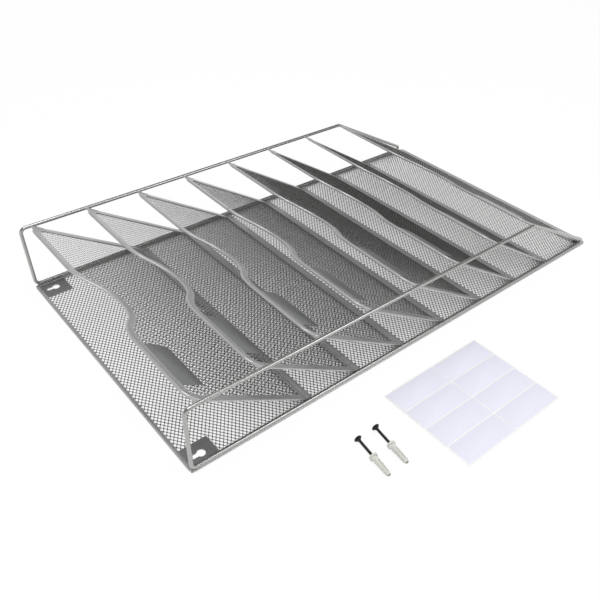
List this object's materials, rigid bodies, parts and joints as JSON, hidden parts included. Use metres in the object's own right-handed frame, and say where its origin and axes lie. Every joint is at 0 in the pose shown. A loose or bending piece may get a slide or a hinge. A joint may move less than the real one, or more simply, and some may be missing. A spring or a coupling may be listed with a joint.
{
  "type": "hanging mesh file organiser",
  "caption": "Wall-hung file organiser of expanded metal: a flat mesh back, two bent side wires and a row of leaning mesh pockets with notched lips, with its loose fixings and labels.",
  "frame": {"origin": "middle of the back's rear face, lying on the surface it rests on", "axes": "+Z out of the wall, +Y towards the hung top edge, +X across the width, to the right of someone facing the hung organiser"},
  "size_m": [0.4717, 0.5983, 0.082],
  "materials": {
    "mesh_paint": "silver-grey powder coat on expanded steel sheet",
    "sheet_paint": "silver-grey powder coat on folded steel strip",
    "wire_paint": "silver-grey powder coat on round steel wire",
    "plug_nylon": "off-white moulded nylon",
    "black_screw": "black phosphate steel",
    "backing_paper": "glossy release paper",
    "label_paper": "pale lavender label paper"
  },
  "bodies": {
    "organiser": {"back_mesh": "mesh_paint", "back_rim": "sheet_paint", "keyhole_plate_left": "sheet_paint", "keyhole_plate_right": "sheet_paint", "side_wire_left": "wire_paint", "side_wire_right": "wire_paint", "pocket_1_mesh": "mesh_paint", "pocket_1_sides": "sheet_paint", "pocket_1_lip": "sheet_paint", "pocket_1_foot": "sheet_paint", "pocket_1_label_plate": "sheet_paint", "pocket_2_mesh": "mesh_paint", "pocket_2_sides": "sheet_paint", "pocket_2_lip": "sheet_paint", "pocket_2_foot": "sheet_paint", "pocket_2_label_plate": "sheet_paint", "pocket_3_mesh": "mesh_paint", "pocket_3_sides": "sheet_paint", "pocket_3_lip": "sheet_paint", "pocket_3_foot": "sheet_paint", "pocket_3_label_plate": "sheet_paint", "pocket_4_mesh": "mesh_paint", "pocket_4_sides": "sheet_paint", "pocket_4_lip": "sheet_paint", "pocket_4_foot": "sheet_paint", "pocket_4_label_plate": "sheet_paint", "pocket_5_mesh": "mesh_paint", "pocket_5_sides": "sheet_paint", "pocket_5_lip": "sheet_paint", "pocket_5_foot": "sheet_paint", "pocket_5_label_plate": "sheet_paint", "pocket_6_mesh": "mesh_paint", "pocket_6_sides": "sheet_paint", "pocket_6_lip": "sheet_paint", "pocket_6_foot": "sheet_paint", "pocket_6_label_plate": "sheet_paint", "pocket_7_mesh": "mesh_paint", "pocket_7_sides": "sheet_paint", "pocket_7_lip": "sheet_paint", "pocket_7_foot": "sheet_paint", "pocket_7_label_plate": "sheet_paint", "pocket_8_mesh": "mesh_paint", "pocket_8_sides": "sheet_paint", "pocket_8_lip": "sheet_paint", "pocket_8_foot": "sheet_paint", "pocket_8_label_plate": "sheet_paint", "wall_plugs": "plug_nylon", "label_backing": "backing_paper", "labels": "label_paper"},
    "screw_upper": {"wall_screw_upper": "black_screw"},
    "screw_lower": {"wall_screw_lower": "black_screw"}
  },
  "joints": [
    {"name": "upper_screw_drive", "type": "slide", "parent": "organiser", "child": "screw_upper", "axis": [-0.9914, 0.1305, 0], "range_m": [-0.008, 0.018]},
    {"name": "lower_screw_drive", "type": "slide", "parent": "organiser", "child": "screw_lower", "axis": [-0.9914, 0.1305, 0], "range_m": [-0.008, 0.018]}
  ]
}
